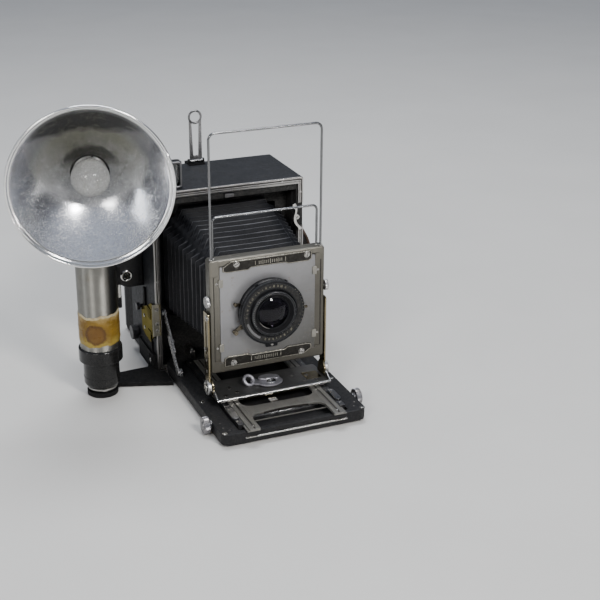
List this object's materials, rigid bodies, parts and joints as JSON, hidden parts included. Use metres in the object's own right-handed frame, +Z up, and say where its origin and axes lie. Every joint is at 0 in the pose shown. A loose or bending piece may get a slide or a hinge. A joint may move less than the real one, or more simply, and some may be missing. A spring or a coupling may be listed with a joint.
{
  "type": "press camera",
  "caption": "Large-format press camera with drop bed, black bellows, rising lens standard, wire frame finder and a flash gun with a polished bowl reflector.",
  "frame": {"origin": "centre of the mouth of the tripod socket in the underside of the body box", "axes": "-Y the way the lens looks, +Z up, +X to the right as seen from in front of the lens"},
  "size_m": [0.3496, 0.331, 0.3176],
  "materials": {
    "body_leather": "satin",
    "black_metal": "satin",
    "silver_trim": null,
    "chrome": null,
    "steel": null,
    "leather_strap": null,
    "glass": null,
    "bellows_black": null,
    "curtain_cloth": null,
    "blades": "satin",
    "bed_black": "satin",
    "track_grey": null,
    "frame_beige": null,
    "board_grey": "satin",
    "gunmetal": "satin",
    "brushed_tube": null,
    "reflector": null,
    "bulb_glass": null,
    "cell_jacket": "satin",
    "black_alloy": "satin",
    "shutter_alloy": "satin",
    "shutter_frame": "satin",
    "gun_cap": "satin",
    "slide_black": "satin",
    "red_plastic": null,
    "frosted_glass": null
  },
  "bodies": {
    "body": {"body_box": "body_leather", "front_trim": "silver_trim", "hinge_pin": "steel", "corner_bracket": "chrome", "hand_strap": "leather_strap", "strap_plates": "chrome", "viewfinder_housing": "black_alloy", "finder_glass": "glass", "rangefinder_housing": "black_alloy", "shutter_box": "shutter_frame", "shutter_curtain": "curtain_cloth", "back_frame": "black_alloy", "flash_bracket": "black_metal", "bellows": "bellows_black"},
    "peep": {"peep_sight": "steel"},
    "winder": {"winding_key": "chrome"},
    "tension": {"tension_knob": "chrome"},
    "release": {"release_button": "chrome"},
    "back": {"ground_glass_frame": "black_alloy", "ground_glass": "frosted_glass"},
    "hood": {"hood_cover": "black_alloy"},
    "body_lever": {"body_release_lever": "chrome"},
    "catch": {"bed_catch": "chrome"},
    "bed": {"bed_board": "bed_black", "bed_rails": "track_grey"},
    "strut_up": {"upper_struts": "chrome"},
    "strut_low": {"lower_struts": "chrome"},
    "focus_shaft": {"pinion_shaft": "steel", "focusing_knobs": "chrome"},
    "track": {"focus_track": "track_grey"},
    "stop_left": {"infinity_stop_left": "chrome"},
    "stop_right": {"infinity_stop_right": "chrome"},
    "carriage": {"standard_carriage": "track_grey"},
    "lock": {"lock_lever": "steel"},
    "base": {"standard_base": "gunmetal"},
    "uprights": {"standard_uprights": "frame_beige"},
    "lens_frame": {"front_frame": "frame_beige", "lens_board": "board_grey", "shutter_case": "shutter_alloy", "lens_barrel": "shutter_alloy", "lens_glass": "glass", "shutter_blades": "blades", "slide_screws": "steel"},
    "slide_up": {"board_slide_upper": "slide_black"},
    "slide_low": {"board_slide_lower": "slide_black"},
    "rise": {"rise_knobs": "chrome"},
    "finder_wire": {"wire_finder": "chrome"},
    "mask_wire": {"wire_mask": "chrome"},
    "speed": {"speed_ring": "shutter_alloy"},
    "cocking": {"cocking_lever": "chrome"},
    "shutter_release": {"release_lever": "chrome"},
    "aperture": {"aperture_lever": "chrome"},
    "flash_gun": {"battery_case": "brushed_tube", "batteries": "cell_jacket", "flash_head": "brushed_tube", "reflector": "reflector"},
    "bulb": {"flash_bulb": "bulb_glass"},
    "ejector": {"ejector_button": "black_metal"},
    "trigger": {"trigger_button": "red_plastic"},
    "cap": {"end_cap": "gun_cap"}
  },
  "joints": [
    {"name": "bed_drop", "type": "hinge", "parent": "body", "child": "bed", "pos_m": [0, -0.0452, 0.0042], "axis": [1, 0, 0], "range_deg": [0, 15]},
    {"name": "upper_strut_turn", "type": "hinge", "parent": "body", "child": "strut_up", "pos_m": [0, -0.034, 0.066], "axis": [1, 0, 0], "range_deg": [-0.5, 4.6]},
    {"name": "lower_strut_turn", "type": "hinge", "parent": "bed", "child": "strut_low", "pos_m": [0, -0.082, 0.0165], "axis": [1, 0, 0], "range_deg": [-11.5, 0.5]},
    {"name": "focus_slide", "type": "slide", "parent": "bed", "child": "track", "axis": [0, -1, 0], "range_m": [-0.004, 0.03], "deforming": ["bellows"]},
    {"name": "focus_turn", "type": "hinge", "parent": "bed", "child": "focus_shaft", "pos_m": [0, -0.19, 0.009], "axis": [1, 0, 0], "range_deg": [-60, 390]},
    {"name": "infinity_stop_left_turn", "type": "hinge", "parent": "bed", "child": "stop_left", "pos_m": [-0.055, -0.184, 0.018], "axis": [0, 0, -1], "range_deg": [0, 80]},
    {"name": "infinity_stop_right_turn", "type": "hinge", "parent": "bed", "child": "stop_right", "pos_m": [0.055, -0.184, 0.018], "axis": [0, 0, 1], "range_deg": [0, 80]},
    {"name": "standard_slide", "type": "slide", "parent": "track", "child": "carriage", "axis": [0, -1, 0], "range_m": [-0.012, 0.02]},
    {"name": "lock_lever_turn", "type": "hinge", "parent": "carriage", "child": "lock", "pos_m": [0.002, -0.15, 0.023], "axis": [0, 0, 1], "range_deg": [-40, 40]},
    {"name": "front_shift", "type": "slide", "parent": "carriage", "child": "base", "axis": [1, 0, 0], "range_m": [-0.008, 0.008]},
    {"name": "front_tilt", "type": "hinge", "parent": "base", "child": "uprights", "pos_m": [0, -0.148, 0.0273], "axis": [-1, 0, 0], "range_deg": [0, 15]},
    {"name": "front_rise", "type": "slide", "parent": "uprights", "child": "lens_frame", "axis": [0, 0, 1], "range_m": [0, 0.019]},
    {"name": "rise_knobs_turn", "type": "hinge", "parent": "lens_frame", "child": "rise", "pos_m": [0, -0.1486, 0.1205], "axis": [1, 0, 0], "range_deg": [-90, 90]},
    {"name": "board_slide_upper_move", "type": "slide", "parent": "lens_frame", "child": "slide_up", "axis": [0, 0, 1], "range_m": [0, 0.005]},
    {"name": "board_slide_lower_move", "type": "slide", "parent": "lens_frame", "child": "slide_low", "axis": [0, 0, -1], "range_m": [0, 0.005]},
    {"name": "wire_finder_slide", "type": "slide", "parent": "lens_frame", "child": "finder_wire", "axis": [0, 0, 1], "range_m": [-0.105, 0]},
    {"name": "wire_mask_slide", "type": "slide", "parent": "lens_frame", "child": "mask_wire", "axis": [0, 0, 1], "range_m": [-0.036, 0]},
    {"name": "speed_ring_turn", "type": "hinge", "parent": "lens_frame", "child": "speed", "pos_m": [0.0003, -0.163, 0.1055], "axis": [0, 1, 0], "range_deg": [-120, 120]},
    {"name": "cocking_turn", "type": "hinge", "parent": "lens_frame", "child": "cocking", "pos_m": [0.0003, -0.1525, 0.1055], "axis": [0, 1, 0], "range_deg": [0, 35]},
    {"name": "shutter_release_turn", "type": "hinge", "parent": "lens_frame", "child": "shutter_release", "pos_m": [0.0003, -0.154, 0.1055], "axis": [0, 1, 0], "range_deg": [0, 15], "stiffness_Nm_per_rad": 0.05},
    {"name": "aperture_turn", "type": "hinge", "parent": "lens_frame", "child": "aperture", "pos_m": [0.0003, -0.1555, 0.1055], "axis": [0, 1, 0], "range_deg": [-30, 30]},
    {"name": "peep_fold", "type": "hinge", "parent": "body", "child": "peep", "pos_m": [0, 0.045, 0.206], "axis": [1, 0, 0], "range_deg": [0, 86]},
    {"name": "winding_turn", "type": "hinge", "parent": "body", "child": "winder", "pos_m": [0, 0.03, 0.182], "axis": [1, 0, 0], "continuous": true},
    {"name": "tension_turn", "type": "hinge", "parent": "body", "child": "tension", "pos_m": [0, 0.03, 0.02], "axis": [1, 0, 0], "continuous": true},
    {"name": "release_press", "type": "slide", "parent": "body", "child": "release", "axis": [1, 0, 0], "range_m": [0, 0.0028], "stiffness_N_per_m": 300},
    {"name": "back_open", "type": "slide", "parent": "body", "child": "back", "axis": [0, 1, 0], "range_m": [0, 0.007], "stiffness_N_per_m": 800},
    {"name": "hood_open", "type": "hinge", "parent": "back", "child": "hood", "pos_m": [0, 0.0923, 0.1534], "axis": [1, 0, 0], "range_deg": [0, 95]},
    {"name": "body_lever_swing", "type": "hinge", "parent": "body", "child": "body_lever", "pos_m": [0.0765, -0.043, 0.158], "axis": [0, 1, 0], "range_deg": [-8, 12]},
    {"name": "bed_catch_press", "type": "slide", "parent": "body", "child": "catch", "axis": [0, 1, 0], "range_m": [0, 0.002], "stiffness_N_per_m": 300},
    {"name": "flash_turn", "type": "hinge", "parent": "body", "child": "flash_gun", "pos_m": [-0.151, -0.062, 0.1], "axis": [0, 0, 1], "range_deg": [-10, 15]},
    {"name": "bulb_pull", "type": "slide", "parent": "flash_gun", "child": "bulb", "axis": [-0.2334, -0.9724, 0], "range_m": [0, 0.05]},
    {"name": "ejector_press", "type": "slide", "parent": "flash_gun", "child": "ejector", "axis": [-0.2334, -0.9724, 0], "range_m": [0, 0.002], "stiffness_N_per_m": 300},
    {"name": "trigger_press", "type": "slide", "parent": "flash_gun", "child": "trigger", "axis": [0, -1, 0], "range_m": [0, 0.002], "stiffness_N_per_m": 300},
    {"name": "end_cap_turn", "type": "hinge", "parent": "flash_gun", "child": "cap", "pos_m": [-0.151, -0.062, 0.02], "axis": [0, 0, 1], "range_deg": [0, 720]}
  ],
  "couplings": [
    {"joint": "upper_strut_turn", "follows": "bed_drop", "ratio": 0.2727},
    {"joint": "lower_strut_turn", "follows": "bed_drop", "ratio": -0.7273},
    {"joint": "focus_turn", "follows": "focus_slide", "rad_per_m": 222.22},
    {"joint": "tension_turn", "follows": "winding_turn", "ratio": 1}
  ]
}
